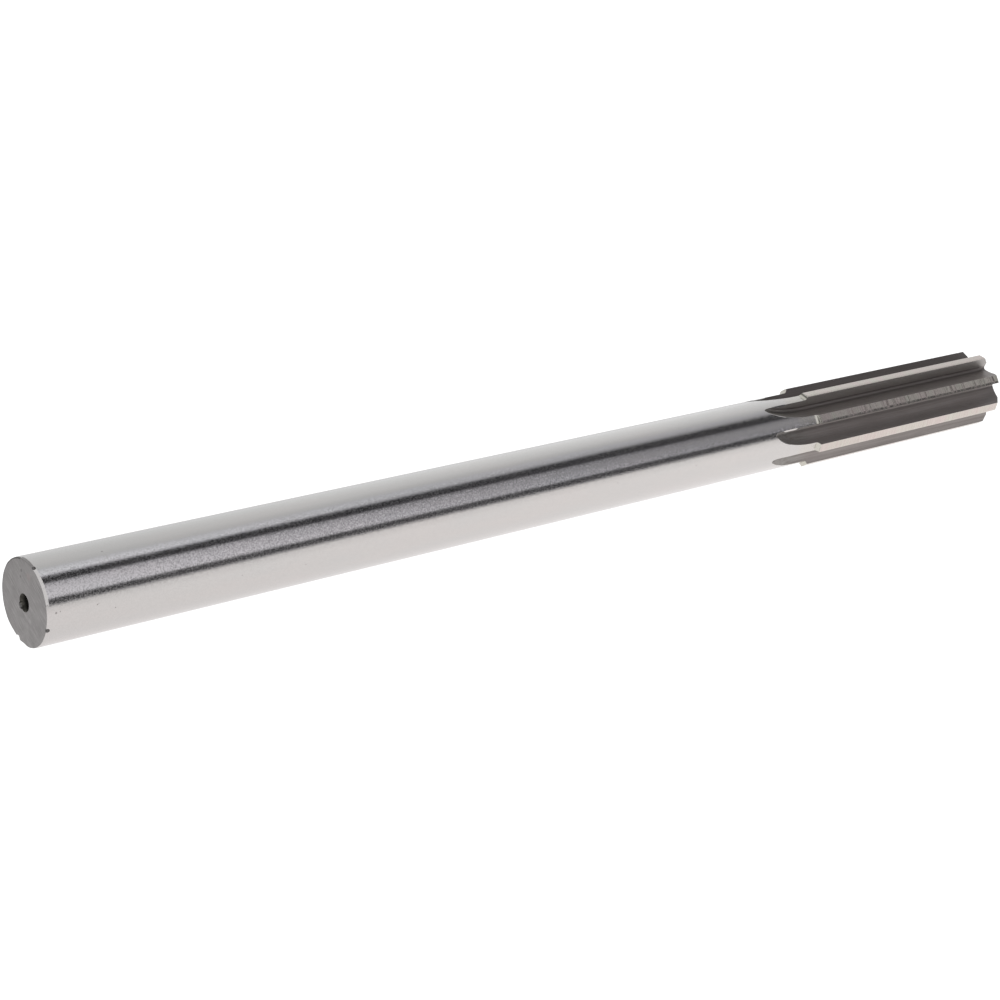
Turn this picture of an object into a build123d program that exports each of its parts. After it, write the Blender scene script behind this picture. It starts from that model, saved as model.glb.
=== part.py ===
from build123d import *
from math import acos, atan, atan2, cos, degrees, hypot, radians, sin, sqrt, tan
import os

# Straight-shank machine reamer, one solid of tool steel, in millimetres.
# The axis runs along +X from the middle of the shank's end face to the cutting end, and +Z is up.
# The reamer lies on its side, so two of its teeth touch the surface below it.

# Shank
SHANK_DIAMETER = 14.262
OVERALL_LENGTH = 228.6
RIM_CHAMFER_LENGTH = 0.5
RIM_CHAMFER_DEPTH = 0.1

# Cutting part, behind a shoulder whose hollow foot curves up to a nearly square wall
CUTTING_DIAMETER = 15.875
CUTTING_LENGTH = 57.5
TOOTH_COUNT = 8
LEAD_CHAMFER = 1.3
SHOULDER_LENGTH = 0.1
SHOULDER_FOOT_RADIUS = 0.82
SHOULDER_TOP_RADIUS = 0.08

# Lands: a round margin behind the cutting edge, then a flat relief down to the heel
LAND_ANGLE = 12.5
MARGIN_ANGLE = 3.3
HEEL_DROP = 0.15

# Flutes: a radial cutting face, a rounded root and a hollow back that ends at the next heel
FLUTE_DEPTH = 2.82
FLUTE_ROOT_RADIUS = 0.5
FLUTE_BACK_RADIUS = 8.0

# Run-outs, where the round milling cutter left each flute behind the shoulder
MILLING_CUTTER_RADIUS = 33.0
FULL_DEPTH_BEHIND_SHOULDER = 0.485

# How far a flute's cut reaches past the blank, in every direction where it leaves it
CUT_OVERSHOOT = 2.0

# Centre holes, one in each end
CENTRE_HOLE_DIAMETER = 2.95
CENTRE_HOLE_ANGLE = 60.0
PILOT_DIAMETER = 1.2
PILOT_DEPTH = 2.8
PILOT_POINT_ANGLE = 118.0

# Damage at the shank's end: a chip in the lip of the centre hole and three nicks in the rim.
# Angles run about the axis from +Z towards -Y, and a nick's place is its middle's distance from the end.
LIP_CHIP_ANGLE = 240.0
LIP_CHIP_RADIUS = 0.6
LIP_CHIP_REACH = 0.42
RIM_NICK_ANGLES = (27.0, 112.9, 203.6)
RIM_NICK_PLACES = (0.25, 0.2, 0.0)
RIM_NICK_RADII = (0.3, 0.36, 0.6)
RIM_NICK_DEPTHS = (0.2, 0.25, 0.55)

# Sizes that follow
shank_radius = SHANK_DIAMETER / 2
cutting_radius = CUTTING_DIAMETER / 2
heel_radius = cutting_radius - HEEL_DROP
core_radius = cutting_radius - FLUTE_DEPTH
tooth_pitch = 360 / TOOTH_COUNT
flute_angle = tooth_pitch - LAND_ANGLE
shoulder_top_x = OVERALL_LENGTH - CUTTING_LENGTH
shoulder_foot_x = shoulder_top_x - SHOULDER_LENGTH
shoulder_slope = degrees(atan2(cutting_radius - shank_radius, SHOULDER_LENGTH))

# The shoulder's two fillets share its wall, nine tenths for the foot and most of the rest for the top
shoulder_wall = hypot(cutting_radius - shank_radius, SHOULDER_LENGTH)
fillet_reach = tan(radians(abs(shoulder_slope) / 2))
foot_radius = min(SHOULDER_FOOT_RADIUS, 0.9 * shoulder_wall / fillet_reach)
top_radius = min(SHOULDER_TOP_RADIUS, 0.09 * shoulder_wall / fillet_reach)

# Where the foot leaves the shank, and where the flutes reach their full depth behind it
foot_start_x = shoulder_foot_x - foot_radius * fillet_reach
full_depth_x = foot_start_x - FULL_DEPTH_BEHIND_SHOULDER
clear_radius = max(shank_radius, cutting_radius) + CUT_OVERSHOOT


def polar(radius, angle):
    """A point of the tooth section, at an angle from the cutting face towards the next heel."""
    return Vector(radius * sin(radians(angle)), radius * cos(radians(angle)))


def angle_from(centre, point):
    """The direction from a centre to a point, in degrees."""
    return degrees(atan2(point.Y - centre.Y, point.X - centre.X))


def blank():
    """The turned blank: shank, shoulder and plain cutting part, with a chamfer at each end."""
    outline = Polyline(
        (0, 0),
        (0, shank_radius - RIM_CHAMFER_DEPTH),
        (RIM_CHAMFER_LENGTH, shank_radius),
        (shoulder_foot_x, shank_radius),
        (shoulder_top_x, cutting_radius),
        (OVERALL_LENGTH - LEAD_CHAMFER, cutting_radius),
        (OVERALL_LENGTH, cutting_radius - LEAD_CHAMFER),
        (OVERALL_LENGTH, 0),
        close=True,
    )
    section = make_face(outline)
    foot = section.vertices().sort_by_distance((shoulder_foot_x, shank_radius))[0]
    section = fillet(foot, foot_radius)
    top = section.vertices().sort_by_distance((shoulder_top_x, cutting_radius))[0]
    section = fillet(top, top_radius)
    return revolve(Plane.XZ * section, Axis.X)


def tooth_space():
    """The section of one tooth space, drawn with its cutting face on the vertical axis."""
    heel = polar(heel_radius, flute_angle)
    margin_edge = polar(cutting_radius, tooth_pitch - MARGIN_ANGLE)
    root_centre = Vector(FLUTE_ROOT_RADIUS, core_radius + FLUTE_ROOT_RADIUS)
    root_to_heel = heel - root_centre
    inner_radius = FLUTE_BACK_RADIUS - FLUTE_ROOT_RADIUS
    along = (root_to_heel.length**2 + inner_radius**2 - FLUTE_BACK_RADIUS**2) / (2 * root_to_heel.length)
    across = sqrt(inner_radius**2 - along**2)
    towards_heel = root_to_heel.normalized()
    outwards = Vector(-towards_heel.Y, towards_heel.X)
    back_centre = root_centre + towards_heel * along + outwards * across
    tangent_angle = angle_from(back_centre, root_centre)
    heel_angle = angle_from(back_centre, heel)
    return make_face(
        Curve()
        + [
            Line((0, clear_radius), (0, root_centre.Y)),
            CenterArc(root_centre, FLUTE_ROOT_RADIUS, 180, tangent_angle + 180),
            CenterArc(back_centre, FLUTE_BACK_RADIUS, tangent_angle, heel_angle - tangent_angle),
            Line(heel, margin_edge),
            Line(margin_edge, polar(clear_radius, tooth_pitch - MARGIN_ANGLE)),
            CenterArc((0, 0), clear_radius, 90, MARGIN_ANGLE - tooth_pitch),
        ]
    )


def flute_tool():
    """What is cut away for one tooth: straight along the cutting part, with a run-out into the shank."""
    section = Plane(origin=(full_depth_x, 0, 0), x_dir=(0, -1, 0), z_dir=(-1, 0, 0)) * tooth_space()
    straight = extrude(section, OVERALL_LENGTH - full_depth_x + CUT_OVERSHOOT, dir=(1, 0, 0))
    cutter_axis = Axis((full_depth_x, 0, core_radius + MILLING_CUTTER_RADIUS), (0, 1, 0))
    lift = clear_radius - core_radius
    run_out_arc = degrees(acos(1 - lift / MILLING_CUTTER_RADIUS))
    run_out = revolve(section, cutter_axis, run_out_arc)
    return straight + run_out


def resting_angle():
    """The turn of the first cutting face from +Z with which two teeth touch the surface below.

    One tooth touches with its cutting edge and the next with its heel, at the same height.
    """
    heel = polar(heel_radius, flute_angle)
    edge_from_bottom = degrees(atan((cutting_radius - heel.Y) / heel.X))
    return (180 - edge_from_bottom) % tooth_pitch


def centre_hole():
    """A centre hole that opens at x = 0 and goes into +X."""
    mouth_radius = CENTRE_HOLE_DIAMETER / 2
    pilot_radius = PILOT_DIAMETER / 2
    cone_depth = (mouth_radius - pilot_radius) / tan(radians(CENTRE_HOLE_ANGLE / 2))
    point_depth = pilot_radius / tan(radians(PILOT_POINT_ANGLE / 2))
    outline = Polyline(
        (0, 0),
        (0, mouth_radius),
        (cone_depth, pilot_radius),
        (cone_depth + PILOT_DEPTH, pilot_radius),
        (cone_depth + PILOT_DEPTH + point_depth, 0),
        close=True,
    )
    return revolve(Plane.XZ * make_face(outline), Axis.X)


def ball(radius, place, distance, angle):
    """A ball at a place along the axis, at a distance from it and an angle about it."""
    across = -distance * sin(radians(angle))
    up = distance * cos(radians(angle))
    return Pos(place, across, up) * Sphere(radius)


def damage():
    """The chipped lip of the centre hole and the nicks in the rim of the end face."""
    lip_distance = CENTRE_HOLE_DIAMETER / 2 + LIP_CHIP_REACH - LIP_CHIP_RADIUS
    spots = [ball(LIP_CHIP_RADIUS, 0, lip_distance, LIP_CHIP_ANGLE)]
    rim_radius = shank_radius - RIM_CHAMFER_DEPTH
    nicks = zip(RIM_NICK_ANGLES, RIM_NICK_PLACES, RIM_NICK_RADII, RIM_NICK_DEPTHS)
    for angle, place, radius, depth in nicks:
        spots.append(ball(radius, place, rim_radius - depth + radius, angle))
    return spots


def reamer():
    tool = flute_tool()
    first = resting_angle()
    cuts = [tool.rotate(Axis.X, first + index * tooth_pitch) for index in range(TOOTH_COUNT)]
    cuts.append(centre_hole())
    cuts.append(Pos(OVERALL_LENGTH, 0, 0) * centre_hole().rotate(Axis.Z, 180))
    cuts += damage()
    return blank() - cuts


os.makedirs("parts", exist_ok=True)
export_step(reamer(), "parts/reamer.step")
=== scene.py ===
from math import atan2, cos, degrees, pi, radians, sin, sqrt, tan

import bmesh
import bpy
import numpy as np
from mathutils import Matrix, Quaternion, Vector


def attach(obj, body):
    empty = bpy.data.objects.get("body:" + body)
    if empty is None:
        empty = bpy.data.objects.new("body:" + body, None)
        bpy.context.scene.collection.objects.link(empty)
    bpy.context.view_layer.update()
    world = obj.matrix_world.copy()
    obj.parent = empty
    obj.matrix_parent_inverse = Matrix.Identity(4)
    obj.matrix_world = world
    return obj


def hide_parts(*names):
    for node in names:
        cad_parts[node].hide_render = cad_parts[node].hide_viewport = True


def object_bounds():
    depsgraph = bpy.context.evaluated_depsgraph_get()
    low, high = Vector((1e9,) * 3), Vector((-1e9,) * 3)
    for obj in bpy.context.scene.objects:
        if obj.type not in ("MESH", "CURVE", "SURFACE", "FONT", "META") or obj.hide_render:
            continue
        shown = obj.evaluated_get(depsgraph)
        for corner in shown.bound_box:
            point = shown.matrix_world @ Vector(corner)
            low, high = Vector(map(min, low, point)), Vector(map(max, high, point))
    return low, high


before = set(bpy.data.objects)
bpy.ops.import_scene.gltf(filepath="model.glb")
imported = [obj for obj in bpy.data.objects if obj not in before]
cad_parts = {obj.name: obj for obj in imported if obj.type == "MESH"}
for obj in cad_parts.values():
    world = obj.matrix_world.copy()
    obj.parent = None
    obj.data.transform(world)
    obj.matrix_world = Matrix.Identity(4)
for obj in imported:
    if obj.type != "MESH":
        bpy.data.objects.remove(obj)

packed_low, packed_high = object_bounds()


# Blank. The reamer starts as one bar of high-speed steel, turned between centres: a plain shank,
# a shoulder with a hollow foot and a nearly square wall, and a thicker cutting part.
# Every size is in millimetres, and the bar lies along X from the middle of the shank's end.

overall_length = packed_high.x * 1000
shank_radius = 7.131
rim_chamfer_length = 0.5
rim_chamfer_depth = 0.1
cutting_radius = 7.9375
cutting_length = 57.5
lead_chamfer = 1.3
shoulder_length = 0.1
foot_radius = 0.82
top_radius = 0.08

shoulder_top = overall_length - cutting_length
shoulder_foot = shoulder_top - shoulder_length
slope = atan2(cutting_radius - shank_radius, shoulder_length)
foot_start = shoulder_foot - foot_radius * tan(slope / 2)
top_end = shoulder_top + top_radius * tan(slope / 2)
lead_start = overall_length - lead_chamfer

foot_curve = [
    (foot_start + foot_radius * sin(turn), shank_radius + foot_radius * (1 - cos(turn)))
    for turn in np.linspace(0, slope, 15)
]
top_curve = [
    (top_end - top_radius * sin(turn), cutting_radius - top_radius * (1 - cos(turn)))
    for turn in np.linspace(slope, 0, 8)
]
blank_outline = [
    (0, shank_radius - rim_chamfer_depth),
    (rim_chamfer_length, shank_radius),
    *foot_curve,
    *top_curve,
    (lead_start, cutting_radius),
    (overall_length, cutting_radius - lead_chamfer),
]
outline_along, outline_radius = zip(*blank_outline)


def blank_radius(along):
    """Radius of the turned blank at a distance from the shank's end."""
    return float(np.interp(along, outline_along, outline_radius))


# Flutes. Eight straight grooves, milled with a round cutter that lifts out behind the shoulder, so each
# ends in a pointed hollow in the shank. Each has a flat radial cutting face, a small rounded root and a
# hollow back up to the next heel, and keeps the dark skin of hardening with fine streaks along it.

tooth_count = 8
first_tooth = radians(26.8756)
land_angle = radians(12.5)
margin_angle = radians(3.3)
heel_drop = 0.15
flute_depth = 2.82
root_radius = 0.5
back_radius = 8.0
milling_cutter_radius = 33.0
full_depth_behind_shoulder = 0.485
edge_break = 0.02

# The strip beside each edge of a run-out whose burr was stoned off: its middle, half length and width
heel_burr = (161.0, 1.9, 0.15)
edge_burr = (162.75, 1.9, 0.26)
burr_fade = 0.4
burr_slope = 0.5
lip_overhang = 0.6

# Painted shade darkens each flute's root. The top tooth's cutting face is painted lighter, a painted
# reflection of the floor, and the one behind it gets the root's painted shade all over
painted_shade_middle = 0.62
painted_shade_reach = 0.19
painted_shade_fade = 0.06
face_painted_light_and_shade = {0: -1.0, 7: 1.0}

tooth_pitch = 2 * pi / tooth_count
flute_angle = tooth_pitch - land_angle
core_radius = cutting_radius - flute_depth
heel_radius = cutting_radius - heel_drop
full_depth = foot_start - full_depth_behind_shoulder
cutter_centre = core_radius + milling_cutter_radius

heel = np.array((heel_radius * sin(flute_angle), heel_radius * cos(flute_angle)))
root_centre = np.array((root_radius, core_radius + root_radius))
root_to_heel = heel - root_centre
span = float(np.hypot(*root_to_heel))
inner_radius = back_radius - root_radius
share = (span**2 + inner_radius**2 - back_radius**2) / (2 * span)
towards_heel = root_to_heel / span
outwards = np.array((-towards_heel[1], towards_heel[0]))
back_centre = root_centre + towards_heel * share + outwards * sqrt(inner_radius**2 - share**2)
root_turn = atan2(*(root_centre - back_centre)[::-1])
heel_turn = atan2(*(heel - back_centre)[::-1])

# A flute's section runs from part 0 at the heel to part 1, a little above the cutting edge
root_begins = 0.5
face_begins = 0.75
above_edge = 0.3
scan_parts = np.linspace(0, 1, 801)
longest_run_out = 16
halvings = 45


def tooth_space(part):
    """Across and up in a flute's section, with its cutting face straight above the axis."""
    back_turn = heel_turn + (root_turn - heel_turn) * np.clip(part / root_begins, 0, 1)
    root_part = np.clip((part - root_begins) / (face_begins - root_begins), 0, 1)
    arc_turn = (root_turn + 2 * pi) * (1 - root_part) + pi * root_part
    face_height = cutting_radius + above_edge - root_centre[1]
    face_up = root_centre[1] + face_height * (part - face_begins) / (1 - face_begins)
    on_back = part < root_begins
    across = np.where(on_back, back_centre[0] + back_radius * np.cos(back_turn),
                      root_centre[0] + root_radius * np.cos(arc_turn))
    up = np.where(on_back, back_centre[1] + back_radius * np.sin(back_turn),
                  root_centre[1] + root_radius * np.sin(arc_turn))
    return np.where(part < face_begins, across, 0.0), np.where(part < face_begins, up, face_up)


def flute_floor(part, along):
    """The same section where the cutter has lifted, behind the full depth."""
    across, up = tooth_space(part)
    behind = max(full_depth - along, 0)
    return across, cutter_centre - np.sqrt((cutter_centre - up) ** 2 - behind**2)


def rubbed_edge(along, burr, depth):
    """Width of the rubbed strip beside a run-out's edge, where its burr was stoned off."""
    if along >= foot_start:
        return 0.0
    middle, half, width = burr
    width = edge_break + width * float(np.clip((half - abs(along - middle)) / burr_fade, 0, 1))
    return min(width, max(depth, 0.0) / burr_slope / 2)


def flute_depths(along):
    """How deep a flute is under the blank at its deepest place, and which part of its section that is."""
    depths = blank_radius(along) - np.hypot(*flute_floor(scan_parts, along))
    return float(depths.max()), scan_parts[depths.argmax()]


def flute_borders(along):
    """The parts of the section at which a flute leaves the blank, first at its cutting face."""
    depth, deepest = flute_depths(along)
    borders = []
    for burr, outside in ((edge_burr, 1.0), (heel_burr, 0.0)):
        inside = deepest
        open_radius = blank_radius(along) - burr_slope * rubbed_edge(along, burr, depth)
        for _ in range(halvings):
            middle = (inside + outside) / 2
            across, up = flute_floor(np.array(middle), along)
            if float(np.hypot(across, up)) < open_radius:
                inside = middle
            else:
                outside = middle
        borders.append((inside + outside) / 2)
    return borders


def run_out_tip():
    """Where a run-out ends in the shank, and how far it is turned from its cutting face."""
    outside, inside = full_depth - longest_run_out, full_depth
    for _ in range(halvings):
        middle = (outside + inside) / 2
        if flute_depths(middle)[0] > 0:
            inside = middle
        else:
            outside = middle
    across, up = flute_floor(np.array(flute_depths(inside)[1]), inside)
    return inside, atan2(float(across), float(up))


tip_along, tip_turn = run_out_tip()
flute_columns = np.concatenate(([0, 0.004], np.linspace(0.03, 0.97, 38), [0.996, 1]))

points = []
edge_distance = []
painted_light_and_shade_by_corner = {}
far_from_edge = 1.0


def on_axis(along, radius, turn):
    """A point at a distance along the axis and a turn about it, from +Z towards -Y."""
    return (along, -radius * sin(turn), radius * cos(turn))


def place(corners, edges):
    """Adds corners of the reamer's skin, each with its distance from the nearest sharp edge."""
    first = len(points)
    points.extend(corners)
    edge_distance.extend(edges)
    return list(range(first, len(points)))


def flute_row(along, tooth):
    """Corners across one flute, from its cutting face to the next heel, without its two borders."""
    at_face, at_heel = flute_borders(along)
    parts = at_face + (at_heel - at_face) * flute_columns
    across, up = flute_floor(parts, along)
    walk = np.concatenate(([0], np.cumsum(np.hypot(np.diff(across), np.diff(up)))))
    from_edge = np.minimum(np.minimum(walk, walk[-1] - walk), far_from_edge)
    turns = first_tooth + tooth * tooth_pitch + np.arctan2(across, up)
    corners = [on_axis(along, r, t) for r, t in zip(np.hypot(across, up), turns)]
    row = place(corners[1:-1], from_edge[1:-1])
    # The root gets painted shade; the cutting faces take their own value: painted light on the top tooth,
    # painted shade on the one behind it
    on_face = np.clip((parts - 0.74) / 0.03, 0, 1)
    painted_flute_shade_and_light = np.clip((painted_shade_reach - abs(parts - painted_shade_middle)) / painted_shade_fade, 0, 1)
    painted_flute_shade_and_light += (face_painted_light_and_shade.get(tooth, 0.0) - painted_flute_shade_and_light) * on_face
    painted_light_and_shade_by_corner.update(zip(row, painted_flute_shade_and_light[1:-1].tolist()))
    return row


def node(tree, kind, feeds, **settings):
    """Adds a shader node, sets it, and feeds its sockets with plain values or other nodes' outputs."""
    made = tree.nodes.new("ShaderNode" + kind)
    for setting, value in settings.items():
        setattr(made, setting, value)
    for socket, value in feeds.items():
        if isinstance(value, bpy.types.NodeSocket):
            tree.links.new(value, made.inputs[socket])
        else:
            made.inputs[socket].default_value = value
    return made


def maths(tree, operation, *values):
    """A sum on one, two or three values."""
    return node(tree, "Math", dict(enumerate(values)), operation=operation).outputs[0]


def rising(tree, value, low, high, start=0.0, stop=1.0):
    """A mask that goes smoothly from start to stop while the value goes from low to high."""
    feeds = {0: value, 1: low, 2: high, 3: start, 4: stop}
    return node(tree, "MapRange", feeds, interpolation_type="SMOOTHSTEP").outputs[0]


def mixed(tree, share, first, second, blend="MIX"):
    """A colour between two others."""
    feeds = {0: share, 6: first, 7: second}
    return node(tree, "Mix", feeds, data_type="RGBA", blend_type=blend).outputs[2]


def vectors(tree, operation, *values):
    """A sum on one or two vectors."""
    return node(tree, "VectorMath", dict(enumerate(values)), operation=operation).outputs[0]


def millimetres(tree):
    """The place on the reamer in millimetres, from the middle of the shank's end."""
    place_on_tool = node(tree, "TexCoord", {}).outputs["Object"]
    return node(tree, "VectorMath", {0: place_on_tool, 3: 1000.0}, operation="SCALE").outputs[0]


def distance_along(tree):
    """The distance from the shank's end in millimetres."""
    return node(tree, "SeparateXYZ", {0: millimetres(tree)}).outputs[0]


def effect(name, values, results):
    """An empty node group with named numbers going in and named colours, masks or normals coming out."""
    tree = bpy.data.node_groups.new(name, "ShaderNodeTree")
    for label, value in values.items():
        socket = tree.interface.new_socket(label, in_out="INPUT", socket_type="NodeSocketFloat")
        socket.default_value = value
    for label, kind in results.items():
        tree.interface.new_socket(label, in_out="OUTPUT", socket_type="NodeSocket" + kind)
    return tree, tree.nodes.new("NodeGroupInput").outputs, tree.nodes.new("NodeGroupOutput").inputs


def use(tree, group, values):
    """What comes out of a node group in a material."""
    return node(tree, "Group", values, node_tree=group).outputs


marks, given, result = effect(
    "tool marks", {"Marks along": 1.0, "Marks across": 1.0, "Contrast": 1.0}, {"Mark": "Float"}
)
stretch = node(marks, "CombineXYZ", {0: given[0], 1: given[1], 2: given[1]}).outputs[0]
stretched = vectors(marks, "MULTIPLY", millimetres(marks), stretch)
noise = node(marks, "TexNoise", {"Vector": stretched, "Scale": 1.0, "Detail": 3.0}).outputs["Fac"]
around_middle = maths(marks, "MULTIPLY", maths(marks, "SUBTRACT", noise, 0.5), given[2])
clipped = node(marks, "Math", {0: around_middle, 1: 0.5}, operation="ADD", use_clamp=True).outputs[0]
marks.links.new(clipped, result[0])

worn, given, result = effect("worn edges", {"Width": 0.1, "Raggedness": 0.5}, {"Edge": "Float"})
distance = node(worn, "Attribute", {}, attribute_name="edge_distance").outputs["Fac"]
noise = node(worn, "TexNoise", {"Vector": millimetres(worn), "Scale": 1.7, "Detail": 2.0}).outputs["Fac"]
unevenness = maths(worn, "MULTIPLY", given[1], 4.0)
ragged = maths(worn, "MULTIPLY", maths(worn, "SUBTRACT", noise, 0.5), unevenness)
reach = maths(worn, "MULTIPLY", given[0], maths(worn, "ADD", ragged, 1.0))
worn.links.new(rising(worn, distance, 0.0, reach, 1.0, 0.0), result[0])

grain, given, result = effect(
    "steel grain",
    {"Grains per mm": 4.0, "Lean along": 0.1, "Lean round": 0.03},
    {"Normal": "Vector", "Speckle": "Float"},
)
noise = node(grain, "TexNoise", {"Vector": millimetres(grain), "Scale": given[0], "Detail": 1.0}).outputs
lean = node(grain, "CombineXYZ", {0: given[1], 1: given[2], 2: given[2]}).outputs[0]
centred = vectors(grain, "SUBTRACT", noise["Color"], (0.5, 0.5, 0.5))
leaning = vectors(grain, "MULTIPLY", centred, lean)
upright = node(grain, "NewGeometry", {}).outputs["Normal"]
tilted = vectors(grain, "ADD", upright, leaning)
grain.links.new(vectors(grain, "NORMALIZE", tilted), result[0])
grain.links.new(noise["Fac"], result[1])

finishes = {}


def steel(name):
    """A new steel finish, whose metal shader is then fed by nodes."""
    material = bpy.data.materials.new(name)
    material.use_nodes = True
    metal = material.node_tree.nodes["Principled BSDF"]
    metal.inputs["Metallic"].default_value = 1.0
    finishes[name] = material
    return material.node_tree, metal


def give(tree, metal, colour, roughness, normal):
    """Feeds a metal shader its colour, roughness and normal."""
    tree.links.new(colour, metal.inputs["Base Color"])
    tree.links.new(roughness, metal.inputs["Roughness"])
    tree.links.new(normal, metal.inputs["Normal"])


flute_brown = (0.32, 0.293, 0.28, 1)
flute_olive = (0.315, 0.304, 0.288, 1)
flute_streak = (0.225, 0.2, 0.188, 1)
flute_wear_and_painted_light = (0.47, 0.45, 0.43, 1)
# A dark colour for painted shade, also used for the dirt stains on the end face
dirt_and_painted_shade_colour = (0.035, 0.032, 0.03, 1)

tree, metal = steel("milled flute")
along_tool = distance_along(tree)
behind = rising(tree, along_tool, 166.0, 171.5, 1.0, 0.0)
streaks = use(tree, marks, {"Marks along": 0.05, "Marks across": 3.2, "Contrast": 3.0})[0]
clouds = use(tree, marks, {"Marks along": 0.12, "Marks across": 0.5, "Contrast": 3.0})[0]
rubbed = use(tree, worn, {"Width": 0.05, "Raggedness": 0.5})[0]
leaning = use(tree, grain, {"Grains per mm": 3.0, "Lean along": 0.05, "Lean round": 0.05})[0]
skin_colour = mixed(tree, behind, flute_brown, flute_olive)
streaking = maths(tree, "MULTIPLY", streaks, maths(tree, "MULTIPLY_ADD", behind, 0.35, 0.45))
streaked = mixed(tree, streaking, skin_colour, flute_streak)
clouded = mixed(tree, maths(tree, "MULTIPLY", clouds, 0.35), streaked, flute_streak)
# Painted shade darkens the root, and the top tooth's cutting face is painted lighter towards the worn
# colour
painted_flute_shade_and_light = node(tree, "Attribute", {}, attribute_name="painted_light_and_shade").outputs["Fac"]
painted_shaded = mixed(tree, maths(tree, "MULTIPLY", painted_flute_shade_and_light, 0.26), clouded, dirt_and_painted_shade_colour)
painted_lighter = mixed(tree, rising(tree, painted_flute_shade_and_light, 0.0, -1.0, 0.0, 0.8), painted_shaded, flute_wear_and_painted_light)
flute_colour = mixed(tree, maths(tree, "MULTIPLY", rubbed, 0.6), painted_lighter, flute_wear_and_painted_light)
flute_roughness = rising(tree, streaks, 0.0, 1.0, 0.42, 0.5)
give(tree, metal, flute_colour, flute_roughness, leaning)


# Lands. Between the flutes the eight teeth keep a strip of the turned blank, ground last: a round margin
# 0.45 mm wide behind each cutting edge, then a flat relief down to the heel. The grinding wheel leaves
# bright steel with short lines across each land.

relief_share = (land_angle - margin_angle) / land_angle
land_columns = np.concatenate((
    [0, 0.012], np.linspace(0.04, relief_share - 0.03, 30), [relief_share - 0.012, relief_share],
    [relief_share + 0.012], np.linspace(relief_share + 0.03, 0.96, 12), [0.988, 1],
))
margin_edge = np.array((
    cutting_radius * sin(tooth_pitch - margin_angle), cutting_radius * cos(tooth_pitch - margin_angle)
))

# The column of corners next to a rubbed strip stands a little further in than the strip is wide
next_column = 1.2
run_out_steps = 32
faces = []


def skin(rows, finish):
    """Faces between neighbouring rows of corners. A row that shrinks to one corner gives triangles."""
    for near, far in zip(rows, rows[1:]):
        for corners in zip(near, near[1:], far[1:], far):
            corners = list(dict.fromkeys(corners))
            if len(corners) > 2:
                faces.append((corners, finish))


def land_radius(along, turn):
    """Radius of a land, where turn runs from the last cutting face: the blank, cut by the relief."""
    if turn >= tooth_pitch - margin_angle or along < foot_start:
        return blank_radius(along)
    side = margin_edge - heel
    relief = (heel[0] * margin_edge[1] - heel[1] * margin_edge[0]) / (
        sin(turn) * side[1] - cos(turn) * side[0]
    )
    return min(blank_radius(along), abs(relief))


def land_row(along, tooth, from_turn, to_turn, grooved):
    """Corners across one land, from the heel to the next cutting edge."""
    columns = land_columns.copy()
    drops = np.zeros(len(columns))
    if grooved and along < foot_start:
        land_width = (to_turn - from_turn) * shank_radius
        depth, _ = flute_depths(along)
        heel_width = rubbed_edge(along, heel_burr, depth)
        edge_width = rubbed_edge(along, edge_burr, depth)
        left, right = heel_width / land_width, edge_width / land_width
        between = (columns[2:-2] - columns[2]) / (columns[-3] - columns[2])
        columns[2:-2] = next_column * left + between * (1 - next_column * (left + right))
        columns[1], columns[-2] = left, 1 - right
        drops[0], drops[-1] = burr_slope * heel_width, burr_slope * edge_width
    corners = []
    from_edge = []
    for turn, drop in zip(from_turn + (to_turn - from_turn) * columns, drops):
        radius = land_radius(along, turn) - drop
        corners.append(on_axis(along, radius, first_tooth + tooth * tooth_pitch + turn))
        gap = min(turn - from_turn, to_turn - turn) * radius if grooved else far_from_edge
        from_edge.append(min(gap, far_from_edge))
    return corners, from_edge


def station(along):
    """All corners round the reamer at one distance: a row for each land and each flute."""
    lands = []
    flutes = []
    if along <= tip_along:
        for tooth in range(tooth_count):
            corners, edges = land_row(along, tooth, tip_turn, tooth_pitch + tip_turn, False)
            lands.append(place(corners[:-1], edges[:-1]))
        for tooth in range(tooth_count):
            lands[tooth].append(lands[(tooth + 1) % tooth_count][0])
            flutes.append([lands[tooth][0]] * len(flute_columns))
        return lands, flutes
    across, up = flute_floor(np.array(flute_borders(along)), along)
    face_turn, heel_side = np.arctan2(across, up)
    face_turn += lip_overhang * rubbed_edge(along, edge_burr, flute_depths(along)[0]) / shank_radius
    for tooth in range(tooth_count):
        lands.append(place(*land_row(along, tooth, heel_side, tooth_pitch + face_turn, True)))
    for tooth in range(tooth_count):
        middle = flute_row(along, tooth)
        flutes.append([lands[tooth - 1][-1], *middle, lands[tooth][0]])
    return lands, flutes


run_out_alongs = [
    tip_along + (full_depth - tip_along) * (step / run_out_steps) ** 2 for step in range(run_out_steps + 1)
]
shoulder_alongs = [
    *[along for along, _ in foot_curve],
    *[along for along, _ in top_curve],
    top_end + edge_break,
]
cutting_alongs = [top_end + 0.15, top_end + 0.6, 180, 195, 210, 222, lead_start - 0.3]
lead_alongs = [
    lead_start - edge_break, lead_start, lead_start + edge_break,
    *np.linspace(lead_start, overall_length, 10)[1:-1], overall_length - edge_break, overall_length,
]
tooth_alongs = [tip_along - 0.06, *run_out_alongs, *shoulder_alongs, *cutting_alongs, *lead_alongs]
tooth_stations = [station(along) for along in tooth_alongs]
flute_start = tooth_alongs.index(tip_along)
shoulder_start = tooth_alongs.index(foot_start)
shoulder_stop = tooth_alongs.index(top_end)
lead_begin = tooth_alongs.index(lead_start)

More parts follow.
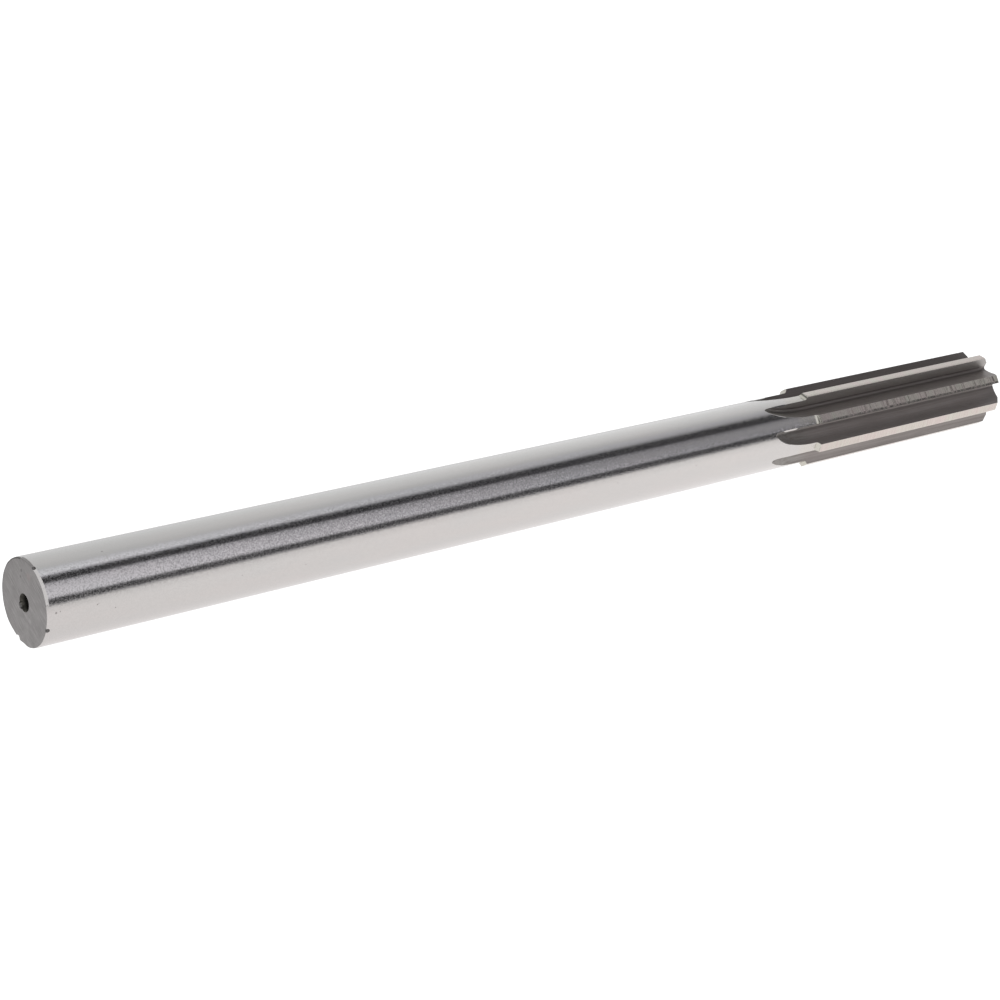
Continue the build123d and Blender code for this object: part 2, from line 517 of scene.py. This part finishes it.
for tooth in range(tooth_count):
    skin([flutes[tooth] for _, flutes in tooth_stations[flute_start:]], "milled flute")
    skin([lands[tooth] for lands, _ in tooth_stations[: shoulder_start + 1]], "ground shank")
    shoulder_rows = [lands[tooth] for lands, _ in tooth_stations[shoulder_start : shoulder_stop + 1]]
    skin(shoulder_rows, "turned shoulder")
    skin([lands[tooth] for lands, _ in tooth_stations[shoulder_stop : lead_begin + 1]], "ground land")
    skin([lands[tooth] for lands, _ in tooth_stations[lead_begin:]], "ground lead")

land_steel = (0.605, 0.583, 0.522, 1)
land_pink = (0.645, 0.549, 0.528, 1)
land_cream = (0.592, 0.582, 0.512, 1)
land_brown = (0.49, 0.4, 0.375, 1)
edge_wear_and_highlight = (0.78, 0.75, 0.72, 1)
shoulder_cream = (0.61, 0.59, 0.535, 1)
shoulder_olive = (0.45, 0.435, 0.37, 1)

tree, metal = steel("ground land")
strokes = use(tree, marks, {"Marks along": 3.0, "Marks across": 0.15, "Contrast": 2.6})[0]
patches = use(tree, marks, {"Marks along": 0.45, "Marks across": 0.2, "Contrast": 3.0})[0]
rubbed = use(tree, worn, {"Width": 0.07, "Raggedness": 0.6})[0]
speckled = use(tree, grain, {"Grains per mm": 3.5, "Lean along": 0.07, "Lean round": 0.03})
along_tool = distance_along(tree)
deeper = rising(tree, along_tool, 172.0, 190.0, 0.3, 1.0)
stroke_height = maths(tree, "MULTIPLY", maths(tree, "SUBTRACT", strokes, 0.5), deeper)
lean_along = maths(tree, "MULTIPLY", stroke_height, 0.04)
lean_up = maths(tree, "MULTIPLY", stroke_height, 0.26)
chatter = node(tree, "CombineXYZ", {0: lean_along, 2: lean_up}).outputs[0]
land_normal = vectors(tree, "NORMALIZE", vectors(tree, "ADD", speckled["Normal"], chatter))
tinted = mixed(tree, patches, land_cream, land_pink)
plain_land = mixed(tree, 0.75, land_steel, tinted)
stroked_land = mixed(tree, maths(tree, "MULTIPLY", strokes, 0.36), plain_land, land_brown)
# Lighter along its edges: wear, and at the cutting edge a painted highlight
worn_land = mixed(tree, maths(tree, "MULTIPLY", rubbed, 0.45), stroked_land, edge_wear_and_highlight)
give(tree, metal, worn_land, rising(tree, strokes, 0.0, 1.0, 0.18, 0.24), land_normal)

tree, metal = steel("turned shoulder")
turned = use(tree, marks, {"Marks along": 6.0, "Marks across": 0.2, "Contrast": 2.0})[0]
clouds = use(tree, marks, {"Marks along": 0.6, "Marks across": 0.5, "Contrast": 2.0})[0]
leaning = use(tree, grain, {"Grains per mm": 3.0, "Lean along": 0.06, "Lean round": 0.04})[0]
shoulder_colour = mixed(tree, maths(tree, "MULTIPLY", clouds, 0.6), shoulder_cream, shoulder_olive)
give(tree, metal, shoulder_colour, rising(tree, turned, 0.0, 1.0, 0.2, 0.3), leaning)

tree, metal = steel("ground lead")
strokes = use(tree, marks, {"Marks along": 1.5, "Marks across": 1.5, "Contrast": 2.0})[0]
rubbed = use(tree, worn, {"Width": 0.08, "Raggedness": 0.6})[0]
leaning = use(tree, grain, {"Grains per mm": 3.5, "Lean along": 0.06, "Lean round": 0.06})[0]
lead_colour = mixed(tree, maths(tree, "MULTIPLY", strokes, 0.3), land_steel, shoulder_cream)
worn_lead = mixed(tree, maths(tree, "MULTIPLY", rubbed, 0.5), lead_colour, edge_wear_and_highlight)
give(tree, metal, worn_lead, rising(tree, strokes, 0.0, 1.0, 0.24, 0.32), leaning)


# Shank. The plain round part that a chuck holds, ground between centres all round, so very fine lines run
# round it. Its end has a small chamfer, worn off on the lower side, and knocks have nicked it three times.

rim_alongs = [0, 0.02, 0.09, 0.17, 0.25, 0.33, 0.41, 0.48, 0.5, 0.52, 0.6, 0.72, 0.9, 1.2]
shank_alongs = [*rim_alongs, 3, 12, 35, 60, 85, 110, 135, 152, 157]
shank_stations = [station(along) for along in shank_alongs]
shank_stations.append(tooth_stations[0])
for tooth in range(tooth_count):
    skin([lands[tooth] for lands, _ in shank_stations], "ground shank")

shank_steel = (0.616, 0.588, 0.57, 1)
shank_cloud = (0.595, 0.582, 0.567, 1)
shank_warm = (0.61, 0.582, 0.544, 1)
pit_colour = (0.24, 0.225, 0.215, 1)

# Small pits: place along, turn about the axis in degrees and radius
pits = (
    (1.5, 90.2, 0.27), (2.2, 89.6, 0.15), (8.49, 91.5, 0.17), (8.75, 90.6, 0.11), (11.62, 101.2, 0.15),
    (12.01, 24.4, 0.17), (34.6, 98.0, 0.12), (47.0, 104.0, 0.12), (116.2, 91.5, 0.14), (136.4, 93.0, 0.14),
)

spots, given, result = effect(
    "one pit", {"Along": 0.0, "Sideways": 0.0, "Up": 0.0, "Radius": 0.2}, {"Pit": "Float"}
)
middle = node(spots, "CombineXYZ", {0: given[0], 1: given[1], 2: given[2]}).outputs[0]
away = node(spots, "VectorMath", {0: millimetres(spots), 1: middle}, operation="DISTANCE").outputs["Value"]
spots.links.new(rising(spots, maths(spots, "DIVIDE", away, given[3]), 0.3, 1.0, 1.0, 0.0), result[0])

tree, metal = steel("ground shank")
along_tool = distance_along(tree)
clouds = use(tree, marks, {"Marks along": 0.06, "Marks across": 0.35, "Contrast": 2.0})[0]
rubbed = use(tree, worn, {"Width": 0.1, "Raggedness": 0.6})[0]
shank_grain = {"Grains per mm": 3.9, "Lean along": 0.25, "Lean round": 0.055}
speckled = use(tree, grain, shank_grain)
near_shoulder = rising(tree, along_tool, 164.5, 167.0)
shank_colour = mixed(tree, clouds, shank_steel, shank_cloud)
warmed = mixed(tree, near_shoulder, shank_colour, shank_warm)
mottle = rising(tree, speckled["Speckle"], 0.3, 0.7, 0.0, 0.04)
mottled = mixed(tree, mottle, warmed, pit_colour)
shank_colour = mixed(tree, maths(tree, "MULTIPLY", rubbed, 0.4), mottled, edge_wear_and_highlight)
for along, turn, radius in pits:
    _, sideways, up = on_axis(along, shank_radius, radians(turn))
    feeds = {"Along": along, "Sideways": sideways, "Up": up, "Radius": radius}
    pit = use(tree, spots, feeds)[0]
    shank_colour = mixed(tree, maths(tree, "MULTIPLY", pit, 0.75), shank_colour, pit_colour)
# Painted shade on the rim's upper side and in the nicks darkens the shank and makes it rougher
painted_light_and_shade = node(tree, "Attribute", {}, attribute_name="painted_light_and_shade").outputs["Fac"]
shank_colour = mixed(tree, painted_light_and_shade, shank_colour, dirt_and_painted_shade_colour)
grain_roughness = rising(tree, speckled["Speckle"], 0.3, 0.7, 0.1, 0.24)
shank_roughness = maths(tree, "MULTIPLY_ADD", painted_light_and_shade, 0.4, grain_roughness)
give(tree, metal, shank_colour, shank_roughness, speckled["Normal"])


# End face. Faced off square to the axis, then left as it was: grey, with fine scratches across it from
# standing on its end in a rack.

mouth_radius = 1.475
stitch_radius = 2.6
hole_columns = 128
face_steps = [0.02, 0.1, 0.2, 0.3, 0.42, 0.56, 0.75, 1.0, 1.5, 2.3, 3.3]
past_all_turns = 1e9


def closed_row(station_lands):
    """The corners all round one station of the plain shank, back to the first."""
    row = [corner for land in station_lands for corner in land[:-1]]
    return row + row[:1]


def plain_row(along, radius, count, start=0.0):
    """A closed row of evenly spaced corners, back to the first."""
    turns = [start + 2 * pi * step / count for step in range(count)]
    row = place([on_axis(along, radius, turn) for turn in turns], [far_from_edge] * count)
    return row + row[:1]


def turns_of(row):
    """The turn of each corner of a closed row, always rising."""
    turns = [atan2(-points[corner][1], points[corner][2]) for corner in row]
    for place_in_row in range(1, len(turns)):
        while turns[place_in_row] < turns[place_in_row - 1] - pi:
            turns[place_in_row] += 2 * pi
    if turns[-1] <= turns[0]:
        turns[-1] += 2 * pi
    return turns


def stitch(outer, outer_turns, inner, inner_turns, finish):
    """Triangles between two closed rows whose corners don't match one to one."""
    i = j = 0
    while i < len(outer) - 1 or j < len(inner) - 1:
        outer_next = outer_turns[i + 1] if i < len(outer) - 1 else past_all_turns
        inner_next = inner_turns[j + 1] if j < len(inner) - 1 else past_all_turns
        if outer_next <= inner_next:
            faces.append(([outer[i], outer[i + 1], inner[j]], finish))
            i += 1
        else:
            faces.append(([outer[i], inner[j + 1], inner[j]], finish))
            j += 1


end_rows = [closed_row(shank_stations[0][0])]
rim_radius = shank_radius - rim_chamfer_depth
rim_turns = turns_of(end_rows[0])
for step in face_steps:
    corners = [on_axis(0.0, rim_radius - step, turn) for turn in rim_turns[:-1]]
    row = place(corners, [min(step, far_from_edge)] * len(corners))
    end_rows.append(row + row[:1])
skin(end_rows, "faced end")
inner_row = plain_row(0.0, stitch_radius, hole_columns, rim_turns[0])
stitch(end_rows[-1], rim_turns, inner_row, turns_of(inner_row), "faced end")

face_grey = (0.275, 0.267, 0.262, 1)
face_dark = (0.2, 0.193, 0.188, 1)
face_light = (0.42, 0.41, 0.405, 1)
face_pink = (0.3, 0.262, 0.255, 1)
scratch_turn = radians(-39)

tree, metal = steel("faced end")
here = millimetres(tree)
turned = node(
    tree, "VectorRotate", {"Vector": here, "Angle": scratch_turn}, rotation_type="X_AXIS"
).outputs[0]
scratch_stretch = vectors(tree, "MULTIPLY", turned, (0.0, 0.3, 5.5))
scratches = node(tree, "TexNoise", {"Vector": scratch_stretch, "Scale": 1.0, "Detail": 3.0}).outputs["Fac"]
light_scratch = rising(tree, scratches, 0.54, 0.68)
dark_scratch = rising(tree, scratches, 0.47, 0.33)
patches = use(tree, marks, {"Marks along": 0.5, "Marks across": 0.5, "Contrast": 2.0})[0]
rubbed = use(tree, worn, {"Width": 0.12, "Raggedness": 0.5})[0]
leaning = use(tree, grain, {"Grains per mm": 3.5, "Lean along": 0.08, "Lean round": 0.08})[0]
face_colour = mixed(tree, maths(tree, "MULTIPLY", patches, 0.35), face_grey, face_dark)
face_colour = mixed(tree, maths(tree, "MULTIPLY", light_scratch, 0.5), face_colour, face_light)
face_colour = mixed(tree, maths(tree, "MULTIPLY", dark_scratch, 0.6), face_colour, face_dark)
stains = (
    (5.0, 22.0, 0.9, face_pink, 0.6), (5.1, 356.0, 0.35, dirt_and_painted_shade_colour, 0.5),
    (4.1, 350.0, 0.3, dirt_and_painted_shade_colour, 0.4), (3.0, 150.0, 0.6, face_light, 0.3),
)
for distance, turn, radius, tint, strength in stains:
    _, sideways, up = on_axis(0.0, distance, radians(turn))
    feeds = {"Along": 0.0, "Sideways": sideways, "Up": up, "Radius": radius}
    mark = use(tree, spots, feeds)[0]
    face_colour = mixed(tree, maths(tree, "MULTIPLY", mark, strength), face_colour, tint)
# Painted shade on the rim, in the nicks and in the chipped lip darkens the end face
painted_light_and_shade = node(tree, "Attribute", {}, attribute_name="painted_light_and_shade").outputs["Fac"]
face_colour = mixed(tree, maths(tree, "MULTIPLY", rubbed, 0.15), face_colour, face_light)
face_colour = mixed(tree, painted_light_and_shade, face_colour, dirt_and_painted_shade_colour)
give(tree, metal, face_colour, rising(tree, patches, 0.0, 1.0, 0.38, 0.46), leaning)


# Centre holes. One in each end, drilled with a centre drill: a 60 degree cone that carried the bar
# between centres while it was ground, and a small pilot hole behind it. The shank's has a chipped lip.

pilot_radius = 0.6
pilot_depth = 2.8
cone_slope = tan(radians(60 / 2))
point_slope = tan(radians(118 / 2))
cone_depth = (mouth_radius - pilot_radius) / cone_slope
point_depth = pilot_radius / point_slope
lip_steps = [0.85, 0.6, 0.45, 0.34, 0.24, 0.15, 0.08, 0.02, 0]
cone_steps = [0.02, 0.07, 0.15, 0.25, 0.36, 0.5, 0.7, 0.95, 1.25]


def centre_hole(first_row, start, end, inwards):
    """Skins a centre hole from a closed row on the flat face round it."""
    face_rows = [first_row]
    for step in lip_steps:
        face_rows.append(plain_row(end, mouth_radius + step, hole_columns, start))
    skin(face_rows, "faced end")
    hole_rows = [face_rows[-1]]
    for depth in [*cone_steps, cone_depth, cone_depth + 0.05, cone_depth + pilot_depth]:
        radius = max(mouth_radius - depth * cone_slope, pilot_radius)
        hole_rows.append(plain_row(end + inwards * depth, radius, hole_columns, start))
    tip = place([(end + inwards * (cone_depth + pilot_depth + point_depth), 0.0, 0.0)], [far_from_edge])
    hole_rows.append(tip * (hole_columns + 1))
    skin(hole_rows, "centre hole")


centre_hole(inner_row, rim_turns[0], 0.0, 1)

hole_lip = (0.12, 0.115, 0.1, 1)
hole_dark_and_painted_shade = (0.012, 0.011, 0.01, 1)

tree, metal = steel("centre hole")
along_tool = distance_along(tree)
from_middle = maths(tree, "ABSOLUTE", maths(tree, "SUBTRACT", along_tool, overall_length / 2))
depth = maths(tree, "SUBTRACT", overall_length / 2, from_middle)
patches = use(tree, marks, {"Marks along": 0.9, "Marks across": 0.9, "Contrast": 3.0})[0]
leaning = use(tree, grain, {"Grains per mm": 2.5, "Lean along": 0.3, "Lean round": 0.3})[0]
# Painted shade: the hole's colour darkens to near black further in
painted_shade_deeper = rising(tree, depth, 0.25, 0.8)
hole_colour = mixed(tree, maths(tree, "MULTIPLY", patches, 0.5), hole_lip, hole_dark_and_painted_shade)
hole_colour = mixed(tree, painted_shade_deeper, hole_colour, hole_dark_and_painted_shade)
give(tree, metal, hole_colour, rising(tree, patches, 0.0, 1.0, 0.35, 0.55), leaning)


# Front face. The cutting end of the bar, faced off square like the other end but ground as bright as
# the lands. The eight flutes open out through it between the teeth, and it has the same centre hole.

inner_front_radius = 4.5
inner_front_columns = 160
land_squeeze = radians(4)
edge_radius = cutting_radius - lead_chamfer

front_lands, front_flutes = tooth_stations[-1]
front_row = []
front_turns = []
for tooth in range(tooth_count):
    land = front_lands[tooth]
    flute = front_flutes[(tooth + 1) % tooth_count]
    base = first_tooth + tooth * tooth_pitch
    land_turns = [atan2(-points[corner][1], points[corner][2]) for corner in land]
    land_turns = [base + (turn - base) % (2 * pi) for turn in land_turns]
    land_share = tooth_pitch - (land_turns[0] - base)
    room = (tooth_pitch - land_squeeze - (land_turns[0] - base)) / land_share
    for corner, turn in zip(land[:-1], land_turns[:-1]):
        front_row.append(corner)
        front_turns.append(land_turns[0] + (turn - land_turns[0]) * room)
    for corner in flute[:-1]:
        _, y, z = points[corner]
        radius = sqrt(y * y + z * z)
        turn = base + tooth_pitch + (atan2(-y, z) - base - tooth_pitch + pi) % (2 * pi) - pi
        fall = max(radius - root_centre[1], 0) / (edge_radius - root_centre[1])
        if turn < base + tooth_pitch + 1e-4:
            turn = base + tooth_pitch - land_squeeze * fall
        front_row.append(corner)
        front_turns.append(turn)
front_row.append(front_row[0])
front_turns.append(front_turns[0] + 2 * pi)
inner_front = plain_row(overall_length, inner_front_radius, inner_front_columns, front_turns[0])
stitch(front_row, front_turns, inner_front, turns_of(inner_front), "ground lead")
hole_front = plain_row(overall_length, stitch_radius, hole_columns, front_turns[0])
stitch(inner_front, turns_of(inner_front), hole_front, turns_of(hole_front), "ground lead")
centre_hole(hole_front, front_turns[0], overall_length, -1)


# Wear and knocks at the shank's end: the chamfer is rubbed away on the lower side, three small nicks sit
# in the rim, and the lip of the centre hole is chipped. The nicks, the chip and the rim's upper side are
# darkened with painted shade.

worn_length = 1.3
rim_begins = 6
rim_waviness = 0.025

# Rubbed places on the rim: middle and width in degrees, and depth
rubbed_places = ((213, 13, 0.25), (188, 10, 0.2))

# Each knock left a ball's hollow: its place along, turn, distance from the axis, radius, way in, and how
# much painted shade darkens it
knocks = (
    (0.25, 27.0, rim_radius + 0.1, 0.3, -1, 0.75),
    (0.2, 112.9, rim_radius + 0.11, 0.36, -1, 0.75),
    (0.0, 203.6, rim_radius + 0.05, 0.6, -1, 0.3),
    (0.0, 240.0, mouth_radius - 0.18, 0.6, 1, 0.3),
)

# Painted shade along the rim: from and to in degrees, inner radius, how far along, and how much
rim_painted_shade = ((-125, -45, 6.9, 0.1, 0.3), (-45, -4, 6.9, 0.2, 0.85), (-4, 25, 6.95, 0.45, 0.6))

for number, (along, y, z) in enumerate(points):
    if along > worn_length:
        continue
    radius = sqrt(y * y + z * z)
    turn = atan2(-y, z)
    if radius > rim_begins:
        fade = max(1 - along / rim_chamfer_length, 0) * min((radius - rim_begins) / 0.5, 1)
        for middle, width, depth in rubbed_places:
            off = (degrees(turn) - middle + 180) % 360 - 180
            radius -= depth * fade * 2.718 ** (-((off / width) ** 2))
        radius -= rim_waviness * fade * sin(turn * 7 + 1) * sin(turn * 11)
    here = np.array(on_axis(along, radius, turn))
    for from_turn, to_turn, inner_radius, far_end, amount in rim_painted_shade:
        if along < far_end and radius > inner_radius and from_turn <= degrees(turn) < to_turn:
            painted_light_and_shade_by_corner[number] = amount
    for knock_along, knock_turn, distance, size, way, knock_painted_shade in knocks:
        centre = np.array(on_axis(knock_along, distance, radians(knock_turn)))
        offset = here - centre
        if offset @ offset < size * size:
            painted_light_and_shade_by_corner[number] = knock_painted_shade
            outward = np.array(on_axis(0.0, 1.0, turn)) * way
            push = (outward + np.array((1.0, 0.0, 0.0))) / sqrt(2)
            inner = offset @ push
            here = here + push * (sqrt(inner * inner - offset @ offset + size * size) - inner)
    points[number] = tuple(here)


# The reamer. All the surfaces above belong to one bar of steel, so they are joined into one closed skin,
# with a crease wherever two finishes meet or the steel turns a sharp corner.

millimetre = 0.001
crease_angle = radians(38)

mesh = bpy.data.meshes.new("reamer_body")
corners_in_metres = [tuple(size * millimetre for size in point) for point in points]
mesh.from_pydata(corners_in_metres, [], [corners for corners, _ in faces])
for material in finishes.values():
    mesh.materials.append(material)
finish_names = list(finishes)
mesh.polygons.foreach_set("material_index", [finish_names.index(finish) for _, finish in faces])
mesh.polygons.foreach_set("use_smooth", [True] * len(faces))
wear = mesh.attributes.new("edge_distance", "FLOAT", "POINT")
wear.data.foreach_set("value", edge_distance)
# The painted light and shade of each corner, read by the finishes
painted_light_and_shade = mesh.attributes.new("painted_light_and_shade", "FLOAT", "POINT")
painted_light_and_shade.data.foreach_set("value", [painted_light_and_shade_by_corner.get(number, 0.0) for number in range(len(points))])
shell = bmesh.new()
shell.from_mesh(mesh)
bmesh.ops.recalc_face_normals(shell, faces=shell.faces)
for edge in shell.edges:
    sides = {face.material_index for face in edge.link_faces}
    edge.smooth = len(sides) == 1 and edge.calc_face_angle() < crease_angle
shell.to_mesh(mesh)
shell.free()
reamer = bpy.data.objects.new("reamer_body", mesh)
bpy.context.scene.collection.objects.link(reamer)
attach(reamer, "root")
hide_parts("reamer")


# Floor. A sheet of matt white paper under the reamer, lit so evenly that it shows no shadow, while what
# the steel mirrors of it falls off towards the dark room in front of the table. The reamer lies on the
# end of its shank and on two teeth, so the sheet is tipped by a seventh of a degree.

sheet_reach = 12.0
sheet_glow = 1.12
shank_rest = (0.0, -0.007131)
tooth_rest = (0.171, -0.0075437)
floor_slope = (tooth_rest[1] - shank_rest[1]) / (tooth_rest[0] - shank_rest[0])
floor_corners = [
    (x * sheet_reach, y * sheet_reach, shank_rest[1] + floor_slope * x * sheet_reach)
    for x, y in ((-1, -1), (1, -1), (1, 1), (-1, 1))
]
floor_mesh = bpy.data.meshes.new("floor")
floor_mesh.from_pydata(floor_corners, [], [(0, 1, 2, 3)])
floor = bpy.data.objects.new("floor", floor_mesh)
bpy.context.scene.collection.objects.link(floor)


def light_steps(tree, value, steps):
    """A light for each place on a scale from 0 to 1."""
    made = node(tree, "ValToRGB", {"Fac": value})
    elements = made.color_ramp.elements
    while len(elements) < len(steps):
        elements.new(0.5)
    for element, (position, light) in zip(elements, steps):
        element.position = position
        element.color = (*([light] * 3), 1) if isinstance(light, float) else (*light, 1)
    return made.outputs["Color"]


paper = bpy.data.materials.new("white paper")
paper.use_nodes = True
tree = paper.node_tree
sheet = tree.nodes["Principled BSDF"]
sheet.inputs["Base Color"].default_value = (0.1, 0.1, 0.1, 1)
sheet.inputs["Roughness"].default_value = 1.0
sheet.inputs["Specular IOR Level"].default_value = 0.0
sheet.inputs["Emission Strength"].default_value = sheet_glow
where = node(tree, "NewGeometry", {}).outputs["Position"]
rightwards, sideways, _ = node(tree, "SeparateXYZ", {0: where}).outputs
fading = light_steps(tree, maths(tree, "ADD", sideways, 0.5), [
    (0.0, 0.12), (0.1, 0.2), (0.3, 0.66), (0.4, 0.85), (0.46, 0.87), (0.475, 0.95), (0.505, 0.95),
    (0.55, 0.8), (1.0, 0.75),
])
evenness = light_steps(tree, maths(tree, "MULTIPLY", rightwards, 2.0), [
    (0.0, (0.88, 0.865, 0.873)), (0.3, (0.975, 0.96, 0.967)), (0.42, (0.985, 0.97, 0.975)),
    (0.55, (0.92, 0.91, 0.91)), (0.75, (0.82, 0.81, 0.81)), (1.0, (0.8, 0.79, 0.79)),
])
mirrored = mixed(tree, 1.0, fading, evenness, "MULTIPLY")
seen = node(tree, "LightPath", {}).outputs["Is Camera Ray"]
tree.links.new(mixed(tree, seen, mirrored, (1, 1, 1, 1)), sheet.inputs["Emission Color"])
floor_mesh.materials.append(paper)


# Studio light. A white tent with a long soft box above the camera, a dark gap on each side of that box,
# and the dark of the room between the tent and the table's edge. The box is dimmer to the right, which
# the cutting part mirrors, and on the far left stands another one between two wider gaps.

sky = bpy.data.worlds.new("studio")
bpy.context.scene.world = sky
sky.use_nodes = True
tree = sky.node_tree
tree.nodes.clear()
toward = node(tree, "TexCoord", {}).outputs["Generated"]
to_right, away, upwards = node(tree, "SeparateXYZ", {0: toward}).outputs
turn = maths(tree, "ARCTAN2", maths(tree, "MULTIPLY", away, -1.0), upwards)
turn_scale = maths(tree, "MULTIPLY_ADD", turn, 0.5 / pi, 0.5)
brightest = 1.1
strongest_tint = 1.12
side_tint = (0.885, 0.885, 0.9, 1)


def round_the_tool(steps):
    """Light by the angle about the tool, in degrees from overhead towards the camera."""
    return light_steps(tree, turn_scale, [(angle / 360 + 0.5, light / brightest) for angle, light in steps])


beside_shank = round_the_tool([
    (-180, 0.85), (-110, 0.5), (-92, 0.67), (-78, 0.85), (-58, 0.83), (-42, 0.79), (-26, 0.75), (-12, 0.69),
    (-6, 0.68), (0, 0.82), (9, 0.98), (13.5, 0.85), (17.5, 0.04), (33.5, 0.02), (36.5, 0.6), (46, 0.76),
    (60, 0.86), (72.5, 0.88), (75, 0.06), (88, 0.06), (90, 0.9), (180, 0.95),
])
beside_shoulder = round_the_tool([
    (-180, 0.9), (-110, 0.55), (-92, 0.81), (-76, 1.02), (-58, 1.0), (-42, 0.94), (-26, 0.85), (-12, 0.65),
    (-2, 0.53), (6, 0.42), (10, 0.27), (13.5, 0.05), (34, 0.05), (36, 0.22), (46, 0.225), (56, 0.265),
    (64, 0.37), (71, 0.48), (73, 0.05), (88, 0.06), (90, 0.9), (180, 0.95),
])
beside_cutting_part = round_the_tool([
    (-180, 0.75), (-132, 0.62), (-100, 0.62), (-70, 0.8), (-42, 0.8), (-26, 0.82), (-16, 0.8), (-8, 0.62),
    (6, 0.42), (10, 0.3), (13.5, 0.05), (34, 0.05), (37, 0.3), (44, 0.52), (52, 0.52), (57, 0.34),
    (64, 0.2), (70, 0.15), (73, 0.05), (88, 0.08), (90, 0.9), (180, 0.95),
])
far_left = round_the_tool([
    (-180, 0.85), (-66, 0.85), (-48, 0.1), (-8, 0.1), (4, 0.7), (48, 0.75), (56, 0.1), (80, 0.1),
    (88, 0.75), (180, 0.95),
])
shank_tint = light_steps(tree, turn_scale, [
    (0.0, (0.875, 0.893, 0.906)), (0.472, (0.875, 0.893, 0.906)), (0.487, (0.87, 0.893, 0.95)),
    (0.53, (0.87, 0.893, 0.95)), (0.545, (0.88, 0.88, 0.97)), (0.59, (0.88, 0.88, 0.97)),
    (0.605, (0.88, 0.876, 0.937)), (0.74, (0.88, 0.876, 0.937)), (0.755, (0.875, 0.87, 0.9)),
    (1.0, (0.875, 0.87, 0.9)),
])
shoulder_tint = light_steps(tree, turn_scale, [
    (0.0, (0.875, 0.893, 0.906)), (0.472, (0.875, 0.893, 0.906)), (0.487, (0.87, 0.893, 0.965)),
    (0.53, (0.87, 0.893, 0.965)), (0.545, (0.87, 0.88, 0.98)), (0.74, (0.88, 0.888, 0.98)),
    (0.755, (0.875, 0.87, 0.9)), (1.0, (0.875, 0.87, 0.9)),
])
halfway = node(tree, "MapRange", {0: to_right, 1: 0.45, 2: 0.7}).outputs[0]
shank_light = mixed(tree, 1.0, beside_shank, shank_tint, "MULTIPLY")
shoulder_light = mixed(tree, 1.0, beside_shoulder, shoulder_tint, "MULTIPLY")
end_light = mixed(tree, 1.0, beside_cutting_part, side_tint, "MULTIPLY")
near_left = (0.95 / brightest, 0.95 / brightest, 0.95 / brightest, 1)
to_the_left = mixed(tree, rising(tree, to_right, -0.8, -0.15), far_left, near_left)
left_light = mixed(tree, 1.0, to_the_left, side_tint, "MULTIPLY")
along_shank = mixed(tree, halfway, shank_light, shoulder_light)
on_the_right = mixed(tree, rising(tree, to_right, 0.72, 0.732), along_shank, end_light)
tinted_light = mixed(tree, rising(tree, to_right, 0.18, 0.34), left_light, on_the_right)
tent = node(tree, "Background", {"Color": tinted_light, "Strength": brightest * strongest_tint}).outputs[0]
backdrop = node(tree, "Background", {"Color": (1, 1, 1, 1), "Strength": 1.0}).outputs[0]
seen = node(tree, "LightPath", {}).outputs["Is Camera Ray"]
shown = node(tree, "MixShader", {0: seen, 1: tent, 2: backdrop}).outputs[0]
node(tree, "OutputWorld", {"Surface": shown})


# Camera. It stands in front of the shank's end and above it, on a tripod that leans by a third of a
# degree, and looks along the tool through a 77 mm lens.

camera = bpy.data.objects.new("camera", bpy.data.cameras.new("camera"))
bpy.context.scene.collection.objects.link(camera)
camera.location = (-0.14238, -0.28052, 0.106295)
aim = Vector((0.094095, 0.0, -0.001008))
look = (aim - camera.location).to_track_quat("-Z", "Y")
camera.rotation_mode = "QUATERNION"
camera.rotation_quaternion = look @ Quaternion((0, 0, 1), radians(0.381))
camera.data.sensor_width = 36
camera.data.lens = 76.97
camera.data.clip_start = 0.01
camera.data.clip_end = 100
bpy.context.scene.camera = camera
bpy.context.scene.view_settings.view_transform = "Standard"
